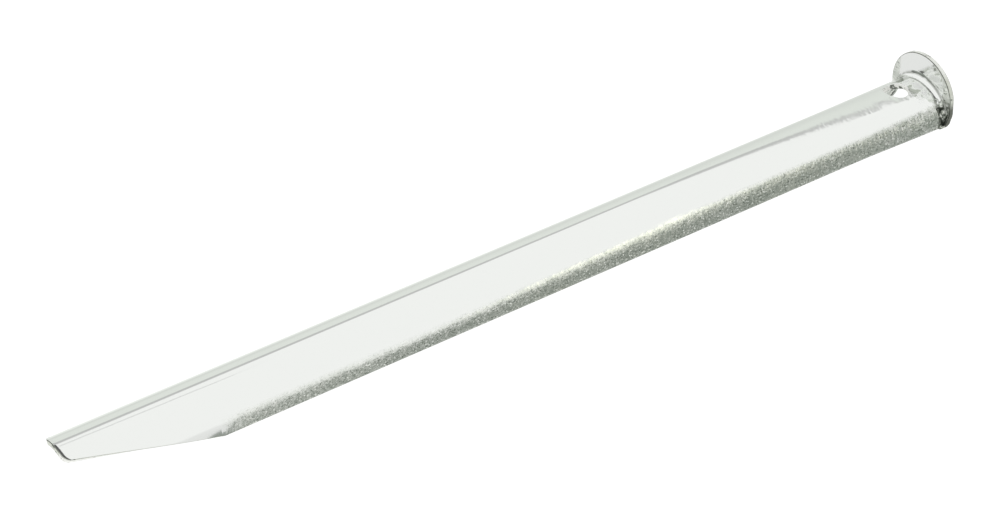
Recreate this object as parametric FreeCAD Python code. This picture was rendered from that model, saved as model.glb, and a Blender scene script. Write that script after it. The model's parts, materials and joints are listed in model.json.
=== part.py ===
import FreeCAD, Part
import math
import os

# Half-round sheet-steel tent stake, lying on its two long edges.
#
# The stake is one strip of steel. The blank is cut to a taper and pierced while flat,
# the strip is pressed into half a tube, and its head end is turned outwards into a
# crescent-shaped lip. The lip is the hook for the guy line and the face that is struck.
# Nothing is joined to it and nothing on it moves.
#
# Millimetres. +X runs along the stake from the point to the head, and +Z is the crown
# of the half tube. The origin is midway along, on the plane of the two long edges.

# Driving dimensions
LENGTH = 300.0  # point to striking face
OUTER_RADIUS = 10.65  # outside of the half tube
SHEET = 1.5  # thickness of the strip
LIP_HEIGHT = 7.5  # how far the lip stands out from the crown
BEND_RADIUS = 2.0  # inside of the lip's bend, where the guy line lies
LIP_CORNER = 2.5  # rounding where the lip's ends meet the long edges
HOLE_DIAMETER = 7.2  # pull-cord hole through the crown
HOLE_TO_FACE = 11.5  # from the hole's centre to the striking face
HOLE_ROLL = 0.35  # the punch's rounding of the hole's outer edge
TAPER_LENGTH = 45.0  # stretch over which the blank narrows towards the point
POINT_HALF_WIDTH = 6.0  # half the flat blank's width where the taper meets the end
POINT_CORNER = 2.5  # rounding of the point's two corners in the flat blank

# Worked out from them
INNER_RADIUS = OUTER_RADIUS - SHEET
EDGE_ARC = OUTER_RADIUS * math.pi / 2  # from the crown to a long edge, round the outside
HEAD_X = LENGTH / 2
POINT_X = -LENGTH / 2
BEND_START_X = HEAD_X - SHEET - BEND_RADIUS
BEND_CENTRE_Z = OUTER_RADIUS + BEND_RADIUS
HOLE_X = HEAD_X - HOLE_TO_FACE
TAPER_SLOPE = (EDGE_ARC - POINT_HALF_WIDTH) / TAPER_LENGTH

# The lip's outer edge is the circle through both long edges and the top of the lip.
LIP_TOP = OUTER_RADIUS + LIP_HEIGHT
LIP_RADIUS = (OUTER_RADIUS**2 + LIP_TOP**2) / (2 * LIP_TOP)
LIP_CENTRE_Z = LIP_TOP - LIP_RADIUS

OVERLAP = 1.0  # how far a cutting tool reaches past what it cuts
CURVE_POINTS = 9  # points that a wrapped curve passes through

AXIS_START = FreeCAD.Vector(0, 0, 0)
ALONG = FreeCAD.Vector(1, 0, 0)
ACROSS = FreeCAD.Vector(0, 1, 0)


def point(x, y, z):
    return FreeCAD.Vector(x, y, z)


def half_turn(profile):
    """Sweeps a closed wire, drawn above the axis in the XZ plane, from one long edge to the other."""
    face = Part.Face(profile)
    face.rotate(AXIS_START, ALONG, -90)
    return face.revolve(AXIS_START, ALONG, 180)


def half_tube():
    """The half tube from the start of the lip's bend to just past the point."""
    end_x = POINT_X - OVERLAP
    corners = [
        point(end_x, 0, INNER_RADIUS),
        point(BEND_START_X, 0, INNER_RADIUS),
        point(BEND_START_X, 0, OUTER_RADIUS),
        point(end_x, 0, OUTER_RADIUS),
    ]
    return half_turn(Part.makePolygon(corners + corners[:1]))


def bend_arc(radius):
    """A quarter circle about the bend's centre, from the tube's surface to the lip's."""
    diagonal = radius * math.sqrt(0.5)
    return Part.Arc(
        point(BEND_START_X, 0, BEND_CENTRE_Z - radius),
        point(BEND_START_X + diagonal, 0, BEND_CENTRE_Z - diagonal),
        point(BEND_START_X + radius, 0, BEND_CENTRE_Z),
    )


def untrimmed_lip():
    """The bend and the lip, equally high all the way round."""
    top_z = LIP_TOP + OVERLAP
    hook_x = HEAD_X - SHEET
    edges = [
        bend_arc(BEND_RADIUS).toShape(),
        Part.makeLine(point(hook_x, 0, BEND_CENTRE_Z), point(hook_x, 0, top_z)),
        Part.makeLine(point(hook_x, 0, top_z), point(HEAD_X, 0, top_z)),
        Part.makeLine(point(HEAD_X, 0, top_z), point(HEAD_X, 0, BEND_CENTRE_Z)),
        bend_arc(BEND_RADIUS + SHEET).toShape(),
        Part.makeLine(point(BEND_START_X, 0, INNER_RADIUS), point(BEND_START_X, 0, OUTER_RADIUS)),
    ]
    return half_turn(Part.Wire(edges))


def lip_corner_cutter():
    """Rounds both ends of the lip where they meet the long edges."""
    centre_x = HEAD_X - LIP_CORNER
    width = 2 * (LIP_RADIUS + OVERLAP)
    reach = LIP_CORNER + OVERLAP
    block = Part.makeBox(reach, width, reach, point(centre_x, -width / 2, -OVERLAP))
    bar = Part.makeCylinder(LIP_CORNER, width, point(centre_x, -width / 2, LIP_CORNER), ACROSS)
    return block.cut(bar)


def lip():
    """The crescent: high over the crown, and nothing at the two long edges."""
    depth = SHEET + BEND_RADIUS + 2 * OVERLAP
    start = point(BEND_START_X - OVERLAP, 0, LIP_CENTRE_Z)
    outline = Part.makeCylinder(LIP_RADIUS, depth, start, ALONG)
    return untrimmed_lip().common(outline).cut(lip_corner_cutter())


def wrapped(arc, x, radius):
    """Where a place on the flat blank goes when it is rolled. arc is measured round the outside."""
    turn = arc / OUTER_RADIUS
    return point(x, radius * math.sin(turn), radius * math.cos(turn))


def cut_along(places):
    """A sheet that stands square to the tube's wall, along a line through places on the flat blank."""
    lines = []
    for radius in (INNER_RADIUS - OVERLAP, OUTER_RADIUS + OVERLAP):
        curve = Part.BSplineCurve()
        curve.interpolate([wrapped(arc, x, radius) for arc, x in places])
        lines.append(curve.toShape())
    return Part.makeRuledSurface(lines[0], lines[1])


def between(start, end):
    """Evenly spaced values from start to end."""
    step = (end - start) / (CURVE_POINTS - 1)
    return [start + step * index for index in range(CURVE_POINTS)]


def point_cuts():
    """The blank's cut edge round the point: taper, corner, blunt end, corner, taper."""
    lean = math.atan(TAPER_SLOPE)
    corner_x = POINT_X + POINT_CORNER
    corner_arc = POINT_HALF_WIDTH + TAPER_SLOPE * POINT_CORNER - POINT_CORNER / math.cos(lean)

    def on_corner(turn):
        return corner_arc + POINT_CORNER * math.cos(turn), corner_x + POINT_CORNER * math.sin(turn)

    corner = [on_corner(turn) for turn in between(-lean, -math.pi / 2)]
    past_edge = EDGE_ARC + OVERLAP
    past_x = POINT_X + (past_edge - POINT_HALF_WIDTH) / TAPER_SLOPE
    taper = list(zip(between(past_edge, corner[0][0]), between(past_x, corner[0][1])))
    sheets = [cut_along([(arc, POINT_X) for arc in between(corner_arc, -corner_arc)])]
    for side in (1, -1):
        for places in (taper, corner):
            sheets.append(cut_along([(side * arc, x) for arc, x in places]))
    return sheets


def hole_cutter():
    start = point(HOLE_X, 0, INNER_RADIUS - 2 * SHEET)
    return Part.makeCylinder(HOLE_DIAMETER / 2, 4 * SHEET, start)


def hole_outer_edges(shape):
    """The hole's edge on the outside of the crown."""
    middle = point(HOLE_X, 0, OUTER_RADIUS)
    found = []
    for edge in shape.Edges:
        box = edge.BoundBox
        near = box.Center.sub(middle).Length < HOLE_DIAMETER / 2
        if near and box.XLength <= HOLE_DIAMETER + SHEET and box.ZMax > OUTER_RADIUS - SHEET / 2:
            found.append(edge)
    return found


def stake():
    tube = half_tube()
    pieces, _ = tube.generalFuse(point_cuts())
    tube = max(pieces.Solids, key=lambda solid: solid.Volume)
    shape = tube.fuse(lip()).removeSplitter()
    shape = shape.cut(hole_cutter())
    shape = shape.makeFillet(HOLE_ROLL, hole_outer_edges(shape))
    return shape.Solids[0]


def main():
    os.makedirs("parts", exist_ok=True)
    shape = stake()
    print("valid", shape.isValid(), "volume", round(shape.Volume, 1), "box", shape.BoundBox)
    shape.exportStep("parts/stake.step")


main()
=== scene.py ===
import json
import math
import bmesh
import bpy
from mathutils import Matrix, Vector


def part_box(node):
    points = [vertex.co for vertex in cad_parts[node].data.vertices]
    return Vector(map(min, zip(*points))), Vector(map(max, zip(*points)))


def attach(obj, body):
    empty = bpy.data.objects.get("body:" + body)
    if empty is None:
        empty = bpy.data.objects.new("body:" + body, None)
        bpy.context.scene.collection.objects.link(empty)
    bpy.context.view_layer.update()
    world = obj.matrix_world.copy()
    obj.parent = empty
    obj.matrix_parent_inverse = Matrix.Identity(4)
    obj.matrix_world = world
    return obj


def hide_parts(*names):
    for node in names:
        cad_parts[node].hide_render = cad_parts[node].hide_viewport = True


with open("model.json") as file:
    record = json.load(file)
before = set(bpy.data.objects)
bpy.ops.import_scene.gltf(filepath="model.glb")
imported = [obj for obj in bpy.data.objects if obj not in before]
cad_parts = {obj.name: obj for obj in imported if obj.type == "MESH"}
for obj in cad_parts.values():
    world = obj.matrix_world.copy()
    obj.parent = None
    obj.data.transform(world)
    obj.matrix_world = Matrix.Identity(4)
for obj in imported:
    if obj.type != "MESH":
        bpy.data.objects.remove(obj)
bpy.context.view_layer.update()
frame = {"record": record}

# A pressed half-round tent stake in bright zinc-plated steel, made as the factory makes it:
# a flat blank with a tapered nose and a punched hole, rolled into half a tube, then the head
# turned out into the lip. Metres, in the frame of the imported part.
mm = 0.001
touching = 0.001 * mm  # places closer than this are the same place


def mountNamed(name):
    return next(m for m in frame["record"]["mounts"] if m["name"] == name)


# edit-mode operators act on this object alone
def onlyActive(obj):
    bpy.ops.object.select_all(action="DESELECT")
    obj.select_set(True)
    bpy.context.view_layer.objects.active = obj


# selects the vertices that keep(place) says yes to, and nothing else
def pick(obj, keep):
    bm = bmesh.from_edit_mesh(obj.data)
    for element in (*bm.faces, *bm.edges, *bm.verts):
        element.select = False
    for v in bm.verts:
        v.select = keep(v.co)
    bm.select_flush(True)
    bmesh.update_edit_mesh(obj.data)


# a place as a key that two equal places share
def keyOf(place):
    return place.to_tuple(7)


def applyAll(obj):
    for m in list(obj.modifiers):
        bpy.ops.object.modifier_apply(modifier=m.name)


low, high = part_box("stake")
holeMount = mountNamed("pull_cord_hole")
stakeSizes = {
    "radius": 10.65 * mm,  # outside of the half tube
    "sheet": 1.5 * mm,
    "columns": 48,  # cells round the half tube
    "taper": 45 * mm,
    "noseHalf": 6.0 * mm,  # half width of the blank where taper and end would meet
    "noseCorner": 2.5 * mm,
    "noseSlant": 1.3 * mm,  # the end is sheared a little oblique: how far one corner falls back
    "noseLead": 0.6,  # share of the half width, on the other side, where the end reaches furthest
    "noseCurve": 1.5,  # 1 would be a straight shear, more sets in softly
    "noseZone": 8 * mm,  # stretch over which the cells follow the rounded nose
    "noseRows": 7,
    "taperRow": 3.0 * mm,  # length of a row of cells on the taper, and on the shank
    "shankRow": 5.0 * mm,
    "holeCells": 5,  # cells from the hole's middle to its edge
    "ringRoundness": (1.0, 1.0, 0.6, 0.3),  # from the hole's edge, rings of cells ease back to the grid
    "holeCollar": 1.15 * mm,  # width of the first ring, round on both sides
    "holeRoll": 0.35 * mm,  # rounding that the punch leaves on the outside
    "holeRollSegments": 6,
    "cellSlack": 0.2,  # share of a cell by which a point may miss its place in the grid
    "bendRadius": 2.0 * mm,
    "bendRows": 7,
    "lipRows": 2,
    "rimBend": 1.1,  # how much longer the bend is at the long edges than at the crown
    "rimLip": 0.07,  # share of the lip's height left at the long edges
    "lipCorner": 3.4 * mm,  # rounding of the lip's lower corners
    "lipTwist": math.radians(2.2),  # the crescent sits a little off square on the tube
    "lipInset": 0.03 * mm,  # kept between the lip and the sides of the stake's box
    "flareFrom": 112 * mm,  # from here to the bend the sides spread and the crown drops
    "spread": 1.08,
    "drop": 0.965,
    "wallAngle": math.radians(60),  # folds sharper than this bound the wall of the hole
    "edgeRound": 0.17 * mm,  # sheared edges, tumbled
    "edgeAngle": math.radians(50),
    "edgeSegments": 3,
    "merge": 0.01 * mm,  # points closer than this become one
}
rim = stakeSizes["radius"] * math.pi / 2  # half the width of the blank
cell = 2 * rim / stakeSizes["columns"]
holeX = holeMount["pos_m"][0]
holeRadius = holeMount["dims"]["r_mm"] * mm
# the cells are square for this many each way from the hole's middle
patchCells = stakeSizes["holeCells"] + len(stakeSizes["ringRoundness"]) - 1
hookX = high.x - stakeSizes["sheet"]  # the lip's inner face
bendX = hookX - stakeSizes["bendRadius"]  # start of the turn into the lip


# the taper's slope, and where its straight side meets the nose's rounded corner
def noseStart(s):
    slope = (rim - s["noseHalf"]) / s["taper"]
    return slope, low.x + s["noseCorner"] * (1 - math.sin(math.atan(slope)))


# places along the flat blank, with its half width at each, from the nose to the bend
def blankRows(s):
    slope, noseX = noseStart(s)
    taperEnd = low.x + s["taper"]
    zoneEnd = low.x + s["noseZone"]
    patchStart = holeX - patchCells * cell
    rows = []
    for i in range(s["noseRows"]):
        rows.append(noseX + (zoneEnd - noseX) * i / s["noseRows"])
    for start, end, step in ((zoneEnd, taperEnd, s["taperRow"]), (taperEnd, patchStart, s["shankRow"])):
        count = round((end - start) / step)
        rows += [start + (end - start) * i / count for i in range(count)]
    rows += [patchStart + cell * i for i in range(2 * patchCells + 1)]
    rows.append(bendX)
    return [(x, min(rim, s["noseHalf"] + slope * (x - low.x))) for x in rows]


def makeBlank(s):
    rows = blankRows(s)
    (x0, half0), (x1, half1) = rows[:2]
    bpy.ops.object.select_all(action="DESELECT")
    bpy.ops.mesh.primitive_grid_add(x_subdivisions=1, y_subdivisions=s["columns"], size=1)
    blank = bpy.context.active_object
    blank.name = "stake_pressing"
    blank.location = ((x0 + x1) / 2, 0, 0)
    blank.scale = (x1 - x0, 2 * half0, 1)
    bpy.ops.object.transform_apply(location=True, rotation=True, scale=True)
    bpy.ops.object.mode_set(mode="EDIT")
    bpy.ops.mesh.select_mode(type="VERT")
    pick(blank, lambda p: p.x > (x0 + x1) / 2)
    bpy.ops.transform.resize(value=(1, half1 / half0, 1), center_override=(x1, 0, 0))
    for (xa, halfA), (xb, halfB) in zip(rows[1:], rows[2:]):
        bpy.ops.mesh.extrude_region_move(TRANSFORM_OT_translate={"value": (xb - xa, 0, 0)})
        bpy.ops.transform.resize(value=(1, halfB / halfA, 1), center_override=(xb, 0, 0))
    return blank


# draws each column of the nose forward until the end follows the two rounded corners
def roundNose(blank, s):
    slope, sideX = noseStart(s)
    r = s["noseCorner"]
    middle = s["noseHalf"] + slope * r - r / math.cos(math.atan(slope))  # half the straight part of the end
    sideHalf = s["noseHalf"] + slope * (sideX - low.x)
    zoneEnd = low.x + s["noseZone"]
    half = s["columns"] // 2
    columnOf = {}
    for v in bmesh.from_edit_mesh(blank.data).verts:
        if v.co.x < zoneEnd - touching:
            width = s["noseHalf"] + slope * (v.co.x - low.x)
            columnOf[keyOf(v.co)] = round(v.co.y / width * half)
    for i in range(-half, half + 1):
        share = i / half
        past = max(abs(share) * sideHalf - middle, 0)
        endX = low.x + r - math.sqrt(max(r * r - past * past, 0))
        endX += s["noseSlant"] * max((s["noseLead"] + share) / (s["noseLead"] + 1), 0) ** s["noseCurve"]
        stretch = (zoneEnd - endX) / (zoneEnd - sideX)
        pick(blank, lambda p: columnOf.get(keyOf(p)) == i)
        bpy.ops.transform.resize(value=(stretch, 1, 1), center_override=(zoneEnd, 0, 0))


def punchHole(blank, s):
    centre = Vector((holeX, 0, 0))
    slack = s["cellSlack"] * cell
    radii = (holeRadius, holeRadius + s["holeCollar"])  # of the first two rings

    def squareSize(p):
        return max(abs(p.x - centre.x), abs(p.y))

    pick(blank, lambda p: squareSize(p) < s["holeCells"] * cell - slack)
    bpy.ops.mesh.delete(type="VERT")
    for ring, roundness in enumerate(s["ringRoundness"]):
        square = (s["holeCells"] + ring) * cell
        pick(blank, lambda p: abs(squareSize(p) - square) < slack)
        bpy.ops.transform.tosphere(value=roundness, center_override=centre)
        if ring < len(radii):
            picked = [v for v in bmesh.from_edit_mesh(blank.data).verts if v.select]
            now = sum((v.co - centre).length for v in picked) / len(picked)
            bpy.ops.transform.resize(value=(radii[ring] / now,) * 3, center_override=centre)


# rolls the flat blank into half a tube about the X axis, crown up
def rollUp(blank, s):
    bpy.ops.object.mode_set(mode="OBJECT")
    onlyActive(blank)
    blank.rotation_euler = (math.pi / 2, 0, 0)
    bpy.ops.object.transform_apply(location=True, rotation=True, scale=True)
    roll = blank.modifiers.new("roll", "SIMPLE_DEFORM")
    roll.deform_method = "BEND"
    roll.deform_axis = "X"
    roll.angle = math.pi
    applyAll(blank)
    blank.rotation_euler = (-math.pi / 2, 0, 0)
    blank.location = (0, 0, s["radius"])
    bpy.ops.object.transform_apply(location=True, rotation=True, scale=True)


# gives the sheet its thickness, rolls the hole's outer edge in and takes the burr off the rest
def thicken(stake, s):
    onlyActive(stake)
    wall = stake.modifiers.new("sheet", "SOLIDIFY")
    wall.thickness = s["sheet"]
    wall.offset = -1
    wall.use_even_offset = True
    wall.use_rim = True
    wall.material_offset_rim = 1
    applyAll(stake)

    bpy.ops.object.mode_set(mode="EDIT")
    pick(stake, lambda p: p.z < touching)
    bpy.ops.transform.resize(value=(1, 1, 0), center_override=(0, 0, 0))  # the long edges lie in one plane
    pick(stake, lambda p: p.x > high.x - touching)
    bpy.ops.transform.resize(value=(0, 1, 1), center_override=(high.x, 0, 0))  # and so does the struck face
    mouth = set()
    for e in bmesh.from_edit_mesh(stake.data).edges:
        if e.calc_face_angle(0) <= s["wallAngle"]:
            continue
        for v in e.verts:
            byHole = math.hypot(v.co.x - holeX, v.co.y) < holeRadius + s["sheet"]
            if byHole and math.hypot(v.co.y, v.co.z) > s["radius"] - s["sheet"] / 2:
                mouth.add(keyOf(v.co))
    pick(stake, lambda p: keyOf(p) in mouth)
    bpy.ops.mesh.bevel(offset=s["holeRoll"], segments=s["holeRollSegments"], affect="EDGES")
    bpy.ops.object.mode_set(mode="OBJECT")

    edges = stake.modifiers.new("tumbled edges", "BEVEL")
    edges.limit_method = "ANGLE"
    edges.angle_limit = s["edgeAngle"]
    edges.width = s["edgeRound"]
    edges.segments = s["edgeSegments"]
    edges.use_clamp_overlap = False
    edges.material = 2
    applyAll(stake)
    bpy.ops.object.mode_set(mode="EDIT")
    bpy.ops.mesh.select_all(action="SELECT")
    bpy.ops.mesh.remove_doubles(threshold=s["merge"])  # the bevel leaves a few points on top of each other
    bpy.ops.mesh.normals_make_consistent(inside=False)
    bpy.ops.object.mode_set(mode="OBJECT")
    stake.modifiers.new("even shading", "WEIGHTED_NORMAL")
    bpy.ops.object.shade_smooth()
    applyAll(stake)


# opens the half tube toward the head, where turning the lip spreads the sides and lowers the crown
def flare(stake, s):
    onlyActive(stake)
    bpy.ops.object.mode_set(mode="EDIT")
    start = s["flareFrom"]
    rows = sorted({round(v.co.x, 6) for v in bmesh.from_edit_mesh(stake.data).verts if v.co.x > start})
    for x in rows:
        share = (x - start) / (bendX - start)
        share = share * share * (3 - 2 * share)  # sets in and ends softly
        pick(stake, lambda p: abs(p.x - x) < touching)
        spread, drop = 1 + (s["spread"] - 1) * share, 1 + (s["drop"] - 1) * share
        bpy.ops.transform.resize(value=(1, spread, drop), center_override=(x, 0, 0))
    bpy.ops.object.mode_set(mode="OBJECT")


# how far the lip's outer edge stands from the stake's axis, at a turn from the crown:
# one round arc over the top that meets the tube at both long edges
def lipEdgeRadius(turn, s):
    top = high.z
    discRadius = (s["radius"] ** 2 + top**2) / (2 * top)
    discZ = top - discRadius
    return discZ * math.cos(turn) + math.sqrt(discRadius**2 - (discZ * math.sin(turn)) ** 2)


# turns the head end out through the bend, then draws every column in to the crescent
def turnLip(stake, s):
    r, bend = s["radius"], s["bendRadius"]
    steps = []
    for i in range(1, s["bendRows"] + 1):
        turn = math.pi / 2 * i / s["bendRows"]
        steps.append((bendX + bend * math.sin(turn), r + bend * (1 - math.cos(turn))))
    for i in range(1, s["lipRows"] + 1):
        steps.append((hookX, r + bend + (high.z - r - bend) * i / s["lipRows"]))
    bpy.ops.object.mode_set(mode="EDIT")
    pick(stake, lambda p: p.x > bendX - touching)
    x, out = bendX, r
    for nextX, nextOut in steps:
        bpy.ops.mesh.extrude_region_move(TRANSFORM_OT_translate={"value": (nextX - x, 0, 0)})
        grow = nextOut / out
        bpy.ops.transform.resize(value=(1, grow, grow), center_override=(nextX, 0, 0))
        x, out = nextX, nextOut

    # every column: how far the lip stands out there, how long its bend is, and the rounded lower corner
    half = s["columns"] // 2
    spacing = math.pi / s["columns"]
    widest = high.y - s["lipInset"]
    feet = {}
    for v in bmesh.from_edit_mesh(stake.data).verts:
        if abs(v.co.x - bendX) < touching:
            feet[round(math.atan2(v.co.y / s["spread"], v.co.z / s["drop"]) / spacing)] = v.co.copy()
    for i, foot in sorted(feet.items()):
        turn = math.atan2(foot.y, foot.z)
        edge = lipEdgeRadius(turn + s["lipTwist"], s)
        if edge * abs(math.sin(turn)) > widest:
            edge = widest / abs(math.sin(turn))
        height = max((edge / math.hypot(foot.y, foot.z) - 1) / (high.z / r - 1), s["rimLip"])
        lowness = max(s["lipCorner"] - foot.z, 0)
        drawBack = s["lipCorner"] - math.sqrt(max(s["lipCorner"] ** 2 - lowness**2, 0))
        reach = bend * (1 + s["rimBend"] * (i / half) ** 2) - drawBack

        def inColumn(p):
            return p.x > bendX - touching and abs(math.atan2(p.y, p.z) - turn) < s["cellSlack"] * spacing

        pick(stake, inColumn)
        bpy.ops.transform.resize(value=(reach / bend, height, height),
                                 center_override=(hookX, foot.y, foot.z))
        if drawBack:
            bpy.ops.transform.translate(value=(-drawBack, 0, 0))
    bpy.ops.object.mode_set(mode="OBJECT")


# shader colour from an sRGB hex value
def linear(hexColour):
    parts = [int(hexColour[i:i + 2], 16) / 255 for i in (1, 3, 5)]
    return [c / 12.92 if c <= 0.04045 else ((c + 0.055) / 1.055) ** 2.4 for c in parts] + [1.0]


def addNode(tree, kind, inputs=None, **settings):
    node = tree.nodes.new(kind)
    for name, value in settings.items():
        setattr(node, name, value)
    for name, value in (inputs or {}).items():
        if isinstance(value, bpy.types.NodeSocket):
            tree.links.new(value, node.inputs[name])
        else:
            node.inputs[name].default_value = value
    return node


def setStops(ramp, steps):
    stops = ramp.color_ramp.elements
    while len(stops) < len(steps):
        stops.new(0.5)
    for stop, (at, colour) in zip(stops, steps):
        stop.position = at
        stop.color = colour


def newMaterial(name):
    material = bpy.data.materials.new(name)
    material.use_nodes = True
    material.node_tree.nodes.clear()
    return material, material.node_tree


# Bright zinc plating on pressed steel, with a clear passivation: a pale, faintly green mirror on the
# crown, and a fine scuffed grain low on the sides and at the head, where the sheet was drawn over the die.
# "From" is where a mark begins and "Full" where it is at its strongest.
zincFinish = {
    "clean": "#EFF1EE",
    "passivated": "#E9ECE1",  # the faint yellow green of the passivation, where it is thicker
    "crownRoughness": 0.07,
    "wave": 28 * mm,  # slight unevenness of the pressed sheet
    "waveDepth": 0.05 * mm,
    "markDepth": 0.5 * mm,  # the marks are full down to this depth in the sheet, and gone at its inner face
    # the scuffed band low on the sides
    "sideRoughness": 0.45,
    "sideFrom": 9.3 * mm,  # half width of the tube
    "sideFull": 10.5 * mm,
    "creep": 0.9 * mm,  # the band climbs this much higher toward the head
    "creepFrom": -40 * mm,
    "creepFull": 70 * mm,
    "headShare": 0.18,  # scuffing on the crown at the head, against 1 in the band
    "headFrom": 60 * mm,
    "headFull": 140 * mm,
    "shankFrom": -106 * mm,  # the tapered point was never rubbed by the die
    "shankFull": -98 * mm,
    "grain": 0.75 * mm,  # real pits are about 0.1 mm; drawn coarser so that they show
    "grainFine": 0.6,  # how strongly its finest part shows
    "grainDepth": 0.045 * mm,
    "mattFrom": 0.05,  # amount of grain that starts to take the shine off, and that leaves none
    "mattFull": 0.75,
    "patch": 2.2 * mm,
    "patchDepth": 0.13 * mm,
    "strokeWidth": 0.8 * mm,  # rub marks of the die, running round the tube
    "strokeLength": 4 * mm,
    "strokeDepth": 0.20 * mm,
    "dull": "#D3D8D0",  # rubbed patches, where stroke and patch add up to this
    "dullFrom": 0.85,
    "dullFull": 1.2,
    "speckleRate": 1.3,  # pits and flakes are this much finer than the grain
    "pit": "#9CA198",
    "pitFrom": 0.56,
    "pitFull": 0.72,
    "flakeFrom": 0.39,  # bare white flakes, at the other end of the speckle
    "flakeFull": 0.32,
    # puckers at the two low corners of the head, where the sheet is stretched both ways
    "pucker": 1.25 * mm,
    "puckerDepth": 0.42 * mm,
    "cornerX": 146.9 * mm,
    "cornerReach": 1.4 * mm,
    "cornerInner": 7.5 * mm,  # half widths
    "cornerOuter": 9.0 * mm,
    "cornerTop": 9.5 * mm,  # heights
    "cornerMiddle": 6.5 * mm,
    "cornerRoughness": 0.12,
    "fold": "#3E423C",  # painted shade in the folds between them
    "foldShadeFrom": 0.45,
    "foldShadeFull": 0.70,
    # painted shade: dark lines where the sheet starts and ends its turn into the lip, in place of the bend's
    # dark reflections:
    # (share of the bend from the lip, strength)
    "paintedBendShade": "#83877E",
    "paintedBendShadeLines": ((0.0, 0.0), (0.10, 0.85), (0.24, 0.0), (0.62, 0.0), (0.80, 0.9), (0.98, 0.0)),
    "paintedBendShadeFrom": 0.30,  # patches break the painted dark lines up, but never fade them below their least strength
    "paintedBendShadeFull": 0.55,
    "paintedBendShadeLeast": 0.35,
    # blotches on the crown just behind the lip: some matt white, some grey, the grey painted shade in place
    # of a dark reflection
    "blotchX": 143.6 * mm,
    "blotchReach": 2.6 * mm,
    "blotchEnd": 7.5 * mm,
    "blotchFull": 5.0 * mm,
    "mattMetallic": 0.1,
    "paleFrom": 0.50,
    "paleFull": 0.58,
    "grey": "#BCC0B8",
    "greyFrom": 0.46,
    "greyFull": 0.38,
    # soft dents on the crown behind the lip, where turning it pulled the sheet
    "dent": 5.0 * mm,
    "dentDepth": 0.42 * mm,
    "dentFrom": 128 * mm,
    "dentFull": 138 * mm,
    "dentEnd": 147 * mm,
}


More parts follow.
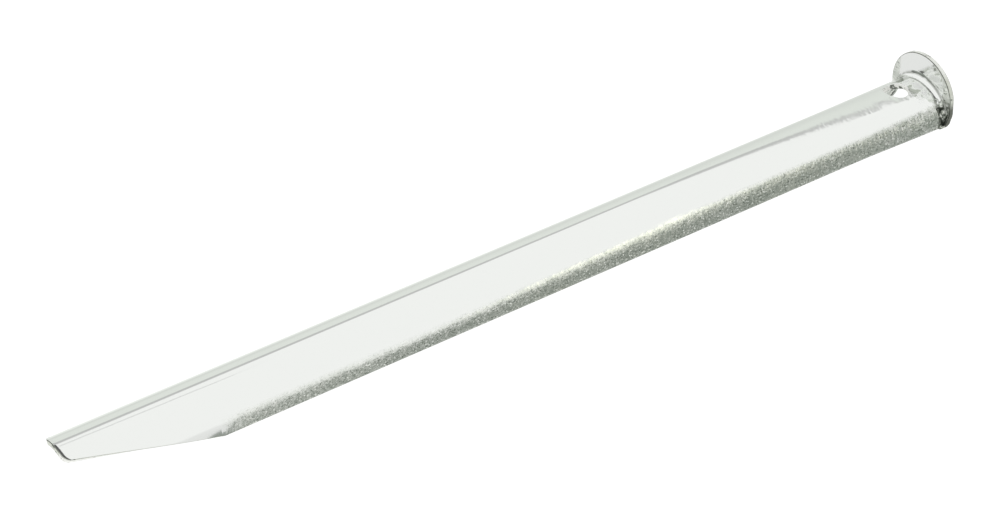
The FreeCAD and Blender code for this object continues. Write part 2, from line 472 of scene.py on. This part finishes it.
def zincPlatedSteel(z):
    s = stakeSizes
    material, tree = newMaterial("zinc_plated_steel")
    place = addNode(tree, "ShaderNodeTexCoord").outputs["Object"]
    axes = addNode(tree, "ShaderNodeSeparateXYZ", {"Vector": place}).outputs
    turn = addNode(tree, "ShaderNodeMath", {0: axes["Y"], 1: axes["Z"]}, operation="ARCTAN2").outputs["Value"]
    arc = addNode(tree, "ShaderNodeMath", {0: turn, 1: s["radius"]}, operation="MULTIPLY").outputs["Value"]
    unrolled = addNode(tree, "ShaderNodeCombineXYZ",
                       {"X": axes["X"], "Y": arc, "Z": axes["Z"]}).outputs["Vector"]

    # textures that the marks below share
    grain = addNode(tree, "ShaderNodeTexNoise", {"Vector": unrolled, "Scale": 1 / z["grain"], "Detail": 2.0,
                                                 "Roughness": z["grainFine"]}).outputs["Fac"]
    speckle = addNode(tree, "ShaderNodeTexNoise", {"Vector": unrolled, "Scale": z["speckleRate"] / z["grain"],
                                                   "Detail": 1.0}).outputs["Fac"]
    patch = addNode(tree, "ShaderNodeTexNoise",
                    {"Vector": unrolled, "Scale": 1 / z["patch"], "Detail": 1.0}).outputs["Fac"]
    dent = addNode(tree, "ShaderNodeTexNoise",
                   {"Vector": unrolled, "Scale": 1 / z["dent"], "Detail": 1.0}).outputs["Fac"]
    wave = addNode(tree, "ShaderNodeTexNoise",
                   {"Vector": place, "Scale": 1 / z["wave"], "Detail": 1.0}).outputs["Fac"]
    along = addNode(tree, "ShaderNodeMapping",
                    {"Vector": unrolled, "Scale": (1 / z["strokeWidth"], 1 / z["strokeLength"], 0)})
    stroke = addNode(tree, "ShaderNodeTexNoise",
                     {"Vector": along.outputs["Vector"], "Scale": 1.0, "Detail": 2.0}).outputs["Fac"]
    pucker = addNode(tree, "ShaderNodeTexVoronoi", {"Vector": place, "Scale": 1 / z["pucker"]},
                     feature="F1").outputs["Distance"]

    # the outside of the sheet, the band low on the sides, and how scuffed each place is
    across = addNode(tree, "ShaderNodeCombineXYZ", {"Y": axes["Y"], "Z": axes["Z"]}).outputs["Vector"]
    fromAxis = addNode(tree, "ShaderNodeVectorMath", {0: across}, operation="LENGTH").outputs["Value"]
    outside = addNode(tree, "ShaderNodeMapRange",
                      {"Value": fromAxis, "From Min": s["radius"] - s["sheet"],
                       "From Max": s["radius"] - z["markDepth"]}).outputs["Result"]
    width = addNode(tree, "ShaderNodeMath", {0: axes["Y"]}, operation="ABSOLUTE").outputs["Value"]
    creep = addNode(tree, "ShaderNodeMapRange",
                    {"Value": axes["X"], "From Min": z["creepFrom"], "From Max": z["creepFull"],
                     "To Max": z["creep"]}).outputs["Result"]
    reached = addNode(tree, "ShaderNodeMath", {0: width, 1: creep}, operation="ADD").outputs["Value"]
    side = addNode(tree, "ShaderNodeMapRange",
                   {"Value": reached, "From Min": z["sideFrom"], "From Max": z["sideFull"]},
                   interpolation_type="SMOOTHSTEP").outputs["Result"]
    shank = addNode(tree, "ShaderNodeMapRange", {"Value": axes["X"], "From Min": z["shankFrom"],
                                                 "From Max": z["shankFull"]}).outputs["Result"]
    band = addNode(tree, "ShaderNodeMath", {0: side, 1: shank}, operation="MULTIPLY").outputs["Value"]
    head = addNode(tree, "ShaderNodeMapRange",
                   {"Value": axes["X"], "From Min": z["headFrom"], "From Max": z["headFull"]},
                   interpolation_type="SMOOTHSTEP").outputs["Result"]
    marked = addNode(tree, "ShaderNodeMath", {0: head, 1: z["headShare"], 2: band},
                     operation="MULTIPLY_ADD").outputs["Value"]
    scuffed = addNode(tree, "ShaderNodeMath", {0: marked, 1: outside}, operation="MULTIPLY").outputs["Value"]

    # the low corners of the head
    inBend = addNode(tree, "ShaderNodeMath", {0: axes["X"], 1: z["cornerX"], 2: z["cornerReach"]},
                     operation="COMPARE").outputs["Value"]
    turned = addNode(tree, "ShaderNodeMath", {0: inBend, 1: outside}, operation="MULTIPLY").outputs["Value"]
    wide = addNode(tree, "ShaderNodeMapRange", {"Value": width, "From Min": z["cornerInner"],
                                                "From Max": z["cornerOuter"]}).outputs["Result"]
    lowDown = addNode(tree, "ShaderNodeMapRange", {"Value": axes["Z"], "From Min": z["cornerTop"],
                                                   "From Max": z["cornerMiddle"]}).outputs["Result"]
    outer = addNode(tree, "ShaderNodeMath", {0: wide, 1: lowDown}, operation="MULTIPLY").outputs["Value"]
    corner = addNode(tree, "ShaderNodeMath", {0: outer, 1: turned}, operation="MULTIPLY").outputs["Value"]

    # relief, one bump on the other: puckers, waves, dents, patches, grain and strokes
    puckerAmount = addNode(tree, "ShaderNodeMath", {0: pucker, 1: corner},
                           operation="MULTIPLY").outputs["Value"]
    pulled = addNode(tree, "ShaderNodeMapRange", {"Value": axes["X"], "From Min": z["dentFrom"],
                                                  "From Max": z["dentFull"]}).outputs["Result"]
    beforeLip = addNode(tree, "ShaderNodeMath", {0: axes["X"], 1: z["dentEnd"]},
                        operation="LESS_THAN").outputs["Value"]
    pulledCrown = addNode(tree, "ShaderNodeMath", {0: pulled, 1: beforeLip},
                          operation="MULTIPLY").outputs["Value"]
    dentAmount = addNode(tree, "ShaderNodeMath", {0: dent, 1: pulledCrown},
                         operation="MULTIPLY").outputs["Value"]
    patchAmount = addNode(tree, "ShaderNodeMath", {0: patch, 1: scuffed},
                          operation="MULTIPLY").outputs["Value"]
    grainAmount = addNode(tree, "ShaderNodeMath", {0: grain, 1: scuffed},
                          operation="MULTIPLY").outputs["Value"]
    strokeHead = addNode(tree, "ShaderNodeMath", {0: head, 1: scuffed}, operation="MULTIPLY").outputs["Value"]
    strokeAmount = addNode(tree, "ShaderNodeMath", {0: stroke, 1: strokeHead},
                           operation="MULTIPLY").outputs["Value"]
    relief = addNode(tree, "ShaderNodeBump", {"Height": puckerAmount, "Strength": 1.0,
                                              "Distance": z["puckerDepth"]}).outputs["Normal"]
    for height, depth in ((wave, "waveDepth"), (dentAmount, "dentDepth"), (patchAmount, "patchDepth"),
                          (grainAmount, "grainDepth"), (strokeAmount, "strokeDepth")):
        relief = addNode(tree, "ShaderNodeBump", {"Height": height, "Strength": 1.0, "Distance": z[depth],
                                                  "Normal": relief}).outputs["Normal"]

    # colour, one layer on the other: passivation, rubbed patches, pits, painted shade in the folds, painted
    # dark lines in the bend and painted grey shade on blotches
    film = addNode(tree, "ShaderNodeMath", {0: wave, 1: band}, operation="MULTIPLY",
                   use_clamp=True).outputs["Value"]
    streak = addNode(tree, "ShaderNodeMath", {0: stroke, 1: patch}, operation="ADD").outputs["Value"]
    cloudy = addNode(tree, "ShaderNodeMapRange", {"Value": streak, "From Min": z["dullFrom"],
                                                  "From Max": z["dullFull"]}).outputs["Result"]
    dulled = addNode(tree, "ShaderNodeMath", {0: cloudy, 1: band}, operation="MULTIPLY",
                     use_clamp=True).outputs["Value"]
    pits = addNode(tree, "ShaderNodeMapRange", {"Value": speckle, "From Min": z["pitFrom"],
                                                "From Max": z["pitFull"]}).outputs["Result"]
    pitted = addNode(tree, "ShaderNodeMath", {0: pits, 1: band}, operation="MULTIPLY",
                     use_clamp=True).outputs["Value"]
    # painted shade: dark colour in the folds between the puckers at the head's low corners
    paintedFoldShadeMask = addNode(tree, "ShaderNodeMapRange", {"Value": pucker, "From Min": z["foldShadeFrom"],
                                                 "From Max": z["foldShadeFull"]}).outputs["Result"]
    paintedFoldShade = addNode(tree, "ShaderNodeMath", {0: paintedFoldShadeMask, 1: corner}, operation="MULTIPLY",
                   use_clamp=True).outputs["Value"]
    # how far into the bend, from the lip back to the tube: the bend is longer toward the long edges
    turnShare = addNode(tree, "ShaderNodeMath", {0: turn, 1: 2 / math.pi},
                        operation="MULTIPLY").outputs["Value"]
    turnSquare = addNode(tree, "ShaderNodeMath", {0: turnShare, 1: turnShare},
                         operation="MULTIPLY").outputs["Value"]
    bendLength = addNode(tree, "ShaderNodeMath",
                         {0: turnSquare, 1: s["bendRadius"] * s["rimBend"], 2: s["bendRadius"]},
                         operation="MULTIPLY_ADD").outputs["Value"]
    fromLip = addNode(tree, "ShaderNodeMath", {0: hookX, 1: axes["X"]}, operation="SUBTRACT").outputs["Value"]
    intoBend = addNode(tree, "ShaderNodeMath", {0: fromLip, 1: bendLength},
                       operation="DIVIDE").outputs["Value"]
    # painted shade: dark lines across the bend at set shares of it
    paintedBendShadeRamp = addNode(tree, "ShaderNodeValToRGB", {"Fac": intoBend})
    setStops(paintedBendShadeRamp, [(at, (level, level, level, 1)) for at, level in z["paintedBendShadeLines"]])
    broken = addNode(tree, "ShaderNodeMapRange",
                     {"Value": patch, "From Min": z["paintedBendShadeFrom"], "From Max": z["paintedBendShadeFull"],
                      "To Min": z["paintedBendShadeLeast"]}).outputs["Result"]
    paintedBendShadeLevel = addNode(tree, "ShaderNodeMath", {0: paintedBendShadeRamp.outputs["Color"], 1: broken},
                      operation="MULTIPLY").outputs["Value"]
    paintedBendShadeOutside = addNode(tree, "ShaderNodeMath", {0: paintedBendShadeLevel, 1: outside},
                             operation="MULTIPLY").outputs["Value"]
    behindLip = addNode(tree, "ShaderNodeMath", {0: axes["X"], 1: z["blotchX"], 2: z["blotchReach"]},
                        operation="COMPARE").outputs["Value"]
    onCrown = addNode(tree, "ShaderNodeMapRange", {"Value": width, "From Min": z["blotchEnd"],
                                                   "From Max": z["blotchFull"]}).outputs["Result"]
    blotched = addNode(tree, "ShaderNodeMath", {0: behindLip, 1: onCrown},
                       operation="MULTIPLY").outputs["Value"]
    blotchedOutside = addNode(tree, "ShaderNodeMath", {0: blotched, 1: outside},
                              operation="MULTIPLY").outputs["Value"]
    # painted shade: grey on some blotches behind the lip
    greyed = addNode(tree, "ShaderNodeMapRange", {"Value": patch, "From Min": z["greyFrom"],
                                                  "From Max": z["greyFull"]}).outputs["Result"]
    paintedGreyShade = addNode(tree, "ShaderNodeMath", {0: greyed, 1: blotchedOutside},
                         operation="MULTIPLY").outputs["Value"]
    colour = linear(z["clean"])
    for amount, layer in ((film, "passivated"), (dulled, "dull"), (pitted, "pit"), (paintedFoldShade, "fold"),
                          (paintedBendShadeOutside, "paintedBendShade"), (paintedGreyShade, "grey")):
        colour = addNode(tree, "ShaderNodeMix", {"Factor": amount, "A": colour, "B": linear(z[layer])},
                         data_type="RGBA").outputs["Result"]

    # shine: lost in the grain, kept in the corners, and none at all on pale blotches and bare flakes
    worn = addNode(tree, "ShaderNodeMapRange",
                   {"Value": grainAmount, "From Min": z["mattFrom"], "From Max": z["mattFull"],
                    "To Min": z["crownRoughness"], "To Max": z["sideRoughness"]}).outputs["Result"]
    roughness = addNode(tree, "ShaderNodeMix", {"Factor": corner, "A": worn, "B": z["cornerRoughness"]},
                        data_type="FLOAT").outputs["Result"]
    pale = addNode(tree, "ShaderNodeMapRange", {"Value": patch, "From Min": z["paleFrom"],
                                                "From Max": z["paleFull"]}).outputs["Result"]
    paleBlotch = addNode(tree, "ShaderNodeMath", {0: pale, 1: blotchedOutside},
                         operation="MULTIPLY").outputs["Value"]
    flake = addNode(tree, "ShaderNodeMapRange", {"Value": speckle, "From Min": z["flakeFrom"],
                                                 "From Max": z["flakeFull"]}).outputs["Result"]
    flaked = addNode(tree, "ShaderNodeMath", {0: flake, 1: band}, operation="MULTIPLY").outputs["Value"]
    flakedOutside = addNode(tree, "ShaderNodeMath", {0: flaked, 1: outside},
                            operation="MULTIPLY").outputs["Value"]
    matt = addNode(tree, "ShaderNodeMath", {0: paleBlotch, 1: flakedOutside},
                   operation="MAXIMUM").outputs["Value"]
    metallic = addNode(tree, "ShaderNodeMix", {"Factor": matt, "A": 1.0, "B": z["mattMetallic"]},
                       data_type="FLOAT").outputs["Result"]
    shader = addNode(tree, "ShaderNodeBsdfPrincipled", {"Base Color": colour, "Metallic": metallic,
                                                        "Roughness": roughness, "Normal": relief})
    addNode(tree, "ShaderNodeOutputMaterial", {"Surface": shader.outputs["BSDF"]})
    return material


# The sheared rim of the sheet, plated too: torn and rough, so it takes in light from all round.
# The marks on the lip begin and end at heights.
edgeFinish = {
    "plated": "#DFE2D8",
    "metallic": 0.4,  # the torn zinc scatters light like a matt paint
    "roughness": 0.60,
    "nick": "#6F736C",
    "nickLength": 1.6 * mm,
    "nickDepth": 0.08 * mm,
    "nickFrom": 0.60,
    "nickFull": 0.68,
    "nickByHole": 0.10,  # the punch tears more than the shears
    "matt": "#F4F5F0",  # clean and matt: the wall of the punched hole, and one side of the point, where the lighter colour is a painted highlight
    "mattMetallic": 0.15,
    "pointSide": -3.0 * mm,  # that side of the point lies past this y, and the point before this x
    "pointEnd": -106 * mm,
    "paintedLipTop": "#F2F4EE",  # painted highlight toward the top of the lip
    "paintedLipTopFrom": 13.5 * mm,
    "paintedLipTopFull": 15.5 * mm,
    "lipTopHighlight": "#F2F4EE",  # painted highlight along the lip's very top, on its outer side
    "lipTopHighlightFrom": 14.5 * mm,
    "lipTopHighlightFull": 16.5 * mm,
    "foot": "#70736A",  # painted shade at the lip's lower corners
    "lowCornerShadeFrom": 8.0 * mm,
    "lowCornerShadeFull": 5.0 * mm,
}
# the tumbled corners of that rim, all painted darker: painted shade for the dark lines along the edges
cornerFinishPaintedDark = {
    **edgeFinish,
    "plated": "#A9ADA3",
    "metallic": 1.0,
    "roughness": 0.30,
    "nick": "#4E524B",
    "nickLength": 1.3 * mm,
    "matt": "#C9CDC4",
    # painted shade: the corners darker toward the top of the lip
    "paintedLipTop": "#6A6D64",
    "paintedLipTopFrom": 8 * mm,
    "paintedLipTopFull": 13 * mm,
    # painted shade at the lip's lower corners, darker on the corners
    "foot": "#4A4D47",
}


def shearedEdge(name, z):
    s = stakeSizes
    material, tree = newMaterial(name)
    place = addNode(tree, "ShaderNodeTexCoord").outputs["Object"]
    axes = addNode(tree, "ShaderNodeSeparateXYZ", {"Vector": place}).outputs
    tear = addNode(tree, "ShaderNodeTexNoise",
                   {"Vector": place, "Scale": 1 / z["nickLength"], "Detail": 3.0}).outputs["Fac"]

    # the wall of the hole, and one side of the point, painted lighter as a highlight
    byHole = addNode(tree, "ShaderNodeMath", {0: axes["X"], 1: holeX, 2: holeRadius + s["sheet"]},
                     operation="COMPARE").outputs["Value"]
    onTop = addNode(tree, "ShaderNodeMath", {0: axes["Z"], 1: s["radius"] / 2},
                    operation="GREATER_THAN").outputs["Value"]
    punched = addNode(tree, "ShaderNodeMath", {0: byHole, 1: onTop}, operation="MULTIPLY").outputs["Value"]
    onPoint = addNode(tree, "ShaderNodeMath", {0: axes["X"], 1: z["pointEnd"]},
                      operation="LESS_THAN").outputs["Value"]
    bySide = addNode(tree, "ShaderNodeMath", {0: axes["Y"], 1: z["pointSide"]},
                     operation="LESS_THAN").outputs["Value"]
    paintedPointSideHighlight = addNode(tree, "ShaderNodeMath", {0: onPoint, 1: bySide}, operation="MULTIPLY").outputs["Value"]
    matt = addNode(tree, "ShaderNodeMath", {0: paintedPointSideHighlight, 1: punched}, operation="MAXIMUM").outputs["Value"]

    # the lip from its top down: painted light and shade by height, with a painted highlight along the top and
    # painted shade at the lower corners
    paintedLipTopMask = addNode(tree, "ShaderNodeMapRange",
                    {"Value": axes["Z"], "From Min": z["paintedLipTopFrom"], "From Max": z["paintedLipTopFull"]},
                    interpolation_type="SMOOTHSTEP").outputs["Result"]
    front = addNode(tree, "ShaderNodeMath", {0: axes["X"], 1: high.x - s["sheet"] / 2},
                    operation="GREATER_THAN").outputs["Value"]
    highUp = addNode(tree, "ShaderNodeMapRange", {"Value": axes["Z"], "From Min": z["lipTopHighlightFrom"],
                                                  "From Max": z["lipTopHighlightFull"]}).outputs["Result"]
    lipTopHighlight = addNode(tree, "ShaderNodeMath", {0: highUp, 1: front}, operation="MULTIPLY").outputs["Value"]
    lowDown = addNode(tree, "ShaderNodeMapRange", {"Value": axes["Z"], "From Min": z["lowCornerShadeFrom"],
                                                   "From Max": z["lowCornerShadeFull"]}).outputs["Result"]
    onHead = addNode(tree, "ShaderNodeMath", {0: axes["X"], 1: high.x - 2 * s["sheet"]},
                     operation="GREATER_THAN").outputs["Value"]
    foot = addNode(tree, "ShaderNodeMath", {0: lowDown, 1: onHead}, operation="MULTIPLY").outputs["Value"]

    torn = addNode(tree, "ShaderNodeMath", {0: punched, 1: z["nickByHole"], 2: tear},
                   operation="MULTIPLY_ADD").outputs["Value"]
    nicks = addNode(tree, "ShaderNodeMapRange", {"Value": torn, "From Min": z["nickFrom"],
                                                 "From Max": z["nickFull"]}).outputs["Result"]
    colour = linear(z["plated"])
    for amount, layer in ((matt, "matt"), (paintedLipTopMask, "paintedLipTop"), (lipTopHighlight, "lipTopHighlight"), (foot, "foot"),
                          (nicks, "nick")):
        colour = addNode(tree, "ShaderNodeMix", {"Factor": amount, "A": colour, "B": linear(z[layer])},
                         data_type="RGBA").outputs["Result"]
    metallic = addNode(tree, "ShaderNodeMix", {"Factor": matt, "A": z["metallic"], "B": z["mattMetallic"]},
                       data_type="FLOAT").outputs["Result"]
    rough = addNode(tree, "ShaderNodeBump",
                    {"Height": tear, "Strength": 1.0, "Distance": z["nickDepth"]}).outputs["Normal"]
    shader = addNode(tree, "ShaderNodeBsdfPrincipled", {"Base Color": colour, "Metallic": metallic,
                                                        "Roughness": z["roughness"], "Normal": rough})
    addNode(tree, "ShaderNodeOutputMaterial", {"Surface": shader.outputs["BSDF"]})
    return material


# the studio is a white tent, lit all round, with a black flag beside the camera
def glowing(name, strength, tint="#FFFFFF"):
    material, tree = newMaterial(name)
    glow = addNode(tree, "ShaderNodeEmission", {"Color": linear(tint), "Strength": strength})
    addNode(tree, "ShaderNodeOutputMaterial", {"Surface": glow.outputs["Emission"]})
    return material


# a cloth wall whose glow changes with height; steps are (height, glow)
def shadedWall(name, steps, tint):
    material, tree = newMaterial(name)
    place = addNode(tree, "ShaderNodeTexCoord").outputs["Object"]
    height = addNode(tree, "ShaderNodeSeparateXYZ", {"Vector": place}).outputs["Z"]
    (bottom, _), (top, _) = steps[0], steps[-1]
    share = addNode(tree, "ShaderNodeMapRange",
                    {"Value": height, "From Min": bottom, "From Max": top}).outputs["Result"]
    ramp = addNode(tree, "ShaderNodeValToRGB", {"Fac": share})
    shades = [(z, [part * level for part in tint] + [1]) for z, level in steps]
    setStops(ramp, [((z - bottom) / (top - bottom), shade) for z, shade in shades])
    glow = addNode(tree, "ShaderNodeEmission", {"Color": ramp.outputs["Color"], "Strength": 1.0})
    addNode(tree, "ShaderNodeOutputMaterial", {"Surface": glow.outputs["Emission"]})
    return material


# a flat four-cornered card, only seen in reflections
def card(name, corners, material):
    bpy.ops.object.select_all(action="DESELECT")
    bpy.ops.mesh.primitive_plane_add(size=1)
    sheet = bpy.context.active_object
    sheet.name = name
    for index, corner in zip((0, 1, 3, 2), corners):
        sheet.data.vertices[index].co = corner
    sheet.data.materials.append(material)
    sheet.visible_camera = False
    sheet.visible_diffuse = False
    sheet.visible_shadow = False


studio = {
    # the cloth all round is a little darker below the horizon
    "clothLow": 0.88,
    "clothHigh": 1.0,
    "clothChange": 0.05,
    # two dark gaps in it, as parts of a direction: by the table on the left, and along the tent's ridge
    "gapGlow": 0.12,
    "leftGapEnd": -0.64,
    "leftGapHeight": -0.04,
    "leftGapReach": 0.17,
    "ridgeMiddle": 0.23,
    "ridgeReach": 0.12,
    "ridgeFoot": -0.1,
    "floorSize": 8,
    "floorColour": "#7C7C7C",
    "floorRoughness": 0.9,
    "floorGlow": 0.93,  # white acrylic lit from below
    # the tent's right wall: its place, and its glow from low to high
    "wallX": 0.45,
    "wallBottom": -1.2,
    "wallTint": (0.96, 0.99, 0.95),  # the cloth is a little green
    "wallSteps": ((-0.40, 0.96), (-0.21, 0.93), (-0.115, 0.83), (-0.012, 0.76), (0.09, 0.78), (0.19, 0.82),
                  (0.30, 0.85)),
    # where the wall meets the roof: distance back, height, and the seam's width there
    "seamLine": ((0.02, 0.380, 0.030), (0.143, 0.396, 0.032), (0.25, 0.394, 0.028), (0.338, 0.366, 0.036),
                 (0.458, 0.338, 0.050), (1.08, 0.683, 0.17), (2.6, 1.60, 0.40)),
    "seamGlow": 0.56,
    "seamSoft": 1.6,  # a paler strip beside the seam ends at this many seam widths
    "foldGlow": 0.66,
    "tipFold": ((0.86, 1.025), (0.52, 0.912), (0.485, 0.930),
                (0.815, 1.060)),  # a crease that the tip mirrors
    # the flag beside the camera darkens the near side; its top edge rises to the right
    "flagY": -0.30,
    "flagTop": ((0.048, -0.045), (0.20, 0.010), (0.40, 0.19), (0.90, 0.35)),
    "flagBottom": -0.32,
    "flagGlow": 0.34,
    "flagTint": "#F8FFF7",
    "fill": ((0.17, 0.01), (0.29, 0.12), (0.29, 0.20), (0.20, 0.11)),  # a bright cloth just above that edge
    "fillGlow": 1.45,
    "fillTint": "#FFFFF0",
    "cloak": ((-0.9, -0.32), (-0.07, -0.32), (-0.07, 0.10), (-0.9, 0.16)),  # dark, left of the camera
    "cloakGlow": 0.16,
    "farFlag": ((-0.9, -0.15), (-0.14, -0.15), (-0.14, 0.06), (-0.9, 0.22)),  # behind the stake, left
}


def makeWorld(k):
    world = bpy.data.worlds.new("tent")
    bpy.context.scene.world = world
    world.use_nodes = True
    tree = world.node_tree
    tree.nodes.clear()
    direction = addNode(tree, "ShaderNodeTexCoord").outputs["Generated"]
    axes = addNode(tree, "ShaderNodeSeparateXYZ", {"Vector": direction}).outputs
    cloth = addNode(tree, "ShaderNodeMapRange",
                    {"Value": axes["Z"], "From Min": -k["clothChange"], "From Max": k["clothChange"],
                     "To Min": k["clothLow"], "To Max": k["clothHigh"]}).outputs["Result"]
    left = addNode(tree, "ShaderNodeMath", {0: axes["X"], 1: k["leftGapEnd"]},
                   operation="LESS_THAN").outputs["Value"]
    level = addNode(tree, "ShaderNodeMath", {0: axes["Z"], 1: k["leftGapHeight"], 2: k["leftGapReach"]},
                    operation="COMPARE").outputs["Value"]
    gap = addNode(tree, "ShaderNodeMath", {0: left, 1: level}, operation="MULTIPLY").outputs["Value"]
    middle = addNode(tree, "ShaderNodeMath", {0: axes["X"], 1: k["ridgeMiddle"], 2: k["ridgeReach"]},
                     operation="COMPARE").outputs["Value"]
    above = addNode(tree, "ShaderNodeMath", {0: axes["Z"], 1: k["ridgeFoot"]},
                    operation="GREATER_THAN").outputs["Value"]
    ridge = addNode(tree, "ShaderNodeMath", {0: middle, 1: above}, operation="MULTIPLY").outputs["Value"]
    dark = addNode(tree, "ShaderNodeMath", {0: gap, 1: ridge}, operation="MAXIMUM").outputs["Value"]
    lit = addNode(tree, "ShaderNodeMix", {"Factor": dark, "A": cloth, "B": k["gapGlow"]},
                  data_type="FLOAT").outputs["Result"]
    # the camera itself sees plain white
    seen = addNode(tree, "ShaderNodeLightPath").outputs["Is Camera Ray"]
    glow = addNode(tree, "ShaderNodeMix", {"Factor": seen, "A": lit, "B": 1.0},
                   data_type="FLOAT").outputs["Result"]
    sky = addNode(tree, "ShaderNodeBackground", {"Color": linear("#FFFFFF"), "Strength": glow})
    addNode(tree, "ShaderNodeOutputWorld", {"Surface": sky.outputs["Background"]})


# lit floor that the stake doesn't mirror
def makeFloor(k):
    bpy.ops.object.select_all(action="DESELECT")
    bpy.ops.mesh.primitive_plane_add(size=k["floorSize"], location=(0, 0, 0))
    floor = bpy.context.active_object
    floor.name = "floor"
    floor.visible_glossy = False
    material, tree = newMaterial("white acrylic floor, lit from below")
    shader = addNode(tree, "ShaderNodeBsdfPrincipled",
                     {"Base Color": linear(k["floorColour"]), "Roughness": k["floorRoughness"],
                      "Emission Color": linear("#FFFFFF"), "Emission Strength": k["floorGlow"]})
    addNode(tree, "ShaderNodeOutputMaterial", {"Surface": shader.outputs["BSDF"]})
    floor.data.materials.append(material)


def hangCards(k):
    wall = shadedWall("tent wall", k["wallSteps"], k["wallTint"])
    seam = glowing("tent seam", k["seamGlow"])
    fold = glowing("tent fold", k["foldGlow"])
    black = glowing("black flag", k["flagGlow"], k["flagTint"])
    cloak = glowing("grey cloak", k["cloakGlow"])
    warm = glowing("warm fill", k["fillGlow"], k["fillTint"])
    x, bottom, soft = k["wallX"], k["wallBottom"], k["seamSoft"]
    for (ya, za, wa), (yb, zb, wb) in zip(k["seamLine"], k["seamLine"][1:]):
        card("right wall", ((x, ya, bottom), (x, yb, bottom), (x, yb, zb), (x, ya, za)), wall)
        card("right seam", ((x, ya, za), (x, yb, zb), (x, yb, zb + wb), (x, ya, za + wa)), seam)
        card("seam's soft edge",
             ((x, ya, za + wa), (x, yb, zb + wb), (x, yb, zb + soft * wb), (x, ya, za + soft * wa)), fold)
    card("fold by the tip", [(x, y, z) for y, z in k["tipFold"]], fold)

    flagY, bottom = k["flagY"], k["flagBottom"]
    for (xa, za), (xb, zb) in zip(k["flagTop"], k["flagTop"][1:]):
        card("flag", ((xa, flagY, bottom), (xb, flagY, bottom), (xb, flagY, zb), (xa, flagY, za)), black)
    card("fill above the flag", [(x, flagY, z) for x, z in k["fill"]], warm)
    card("grey cloak by the camera", [(x, flagY, z) for x, z in k["cloak"]], cloak)
    card("far flag", [(x, -flagY, z) for x, z in k["farFlag"]], black)


view = {
    "azimuth": -38.43,
    "elevation": 32.34,
    "distance": 1.093,
    "lens": 145.15,
    "right": -5.49 * mm,  # the stake stands a little off the middle
    "up": 4.85 * mm,
}


def makeCamera(v):
    azimuth, elevation = math.radians(v["azimuth"]), math.radians(v["elevation"])
    back = Vector((math.sin(azimuth) * math.cos(elevation), -math.cos(azimuth) * math.cos(elevation),
                   math.sin(elevation)))
    turn = back.to_track_quat("Z", "Y")
    right, up = turn @ Vector((1, 0, 0)), turn @ Vector((0, 1, 0))
    data = bpy.data.cameras.new("camera")
    data.lens = v["lens"]
    camera = bpy.data.objects.new("camera", data)
    camera.location = back * v["distance"] + right * v["right"] + up * v["up"]
    camera.rotation_euler = turn.to_euler()
    bpy.context.scene.collection.objects.link(camera)
    bpy.context.scene.camera = camera


print("stage: blank")
stake = makeBlank(stakeSizes)
roundNose(stake, stakeSizes)
punchHole(stake, stakeSizes)
print("stage: rolling")
rollUp(stake, stakeSizes)
print("stage: lip")
flare(stake, stakeSizes)
turnLip(stake, stakeSizes)
print("stage: thickness and edges")
stake.data.materials.append(zincPlatedSteel(zincFinish))
stake.data.materials.append(shearedEdge("zinc_plated_sheared_edge", edgeFinish))
stake.data.materials.append(shearedEdge("zinc_corners_painted_dark", cornerFinishPaintedDark))
thicken(stake, stakeSizes)
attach(stake, "root")
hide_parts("stake")

print("stage: studio and camera")
makeWorld(studio)
makeFloor(studio)
hangCards(studio)
makeCamera(view)
bpy.context.scene.view_settings.view_transform = "Standard"
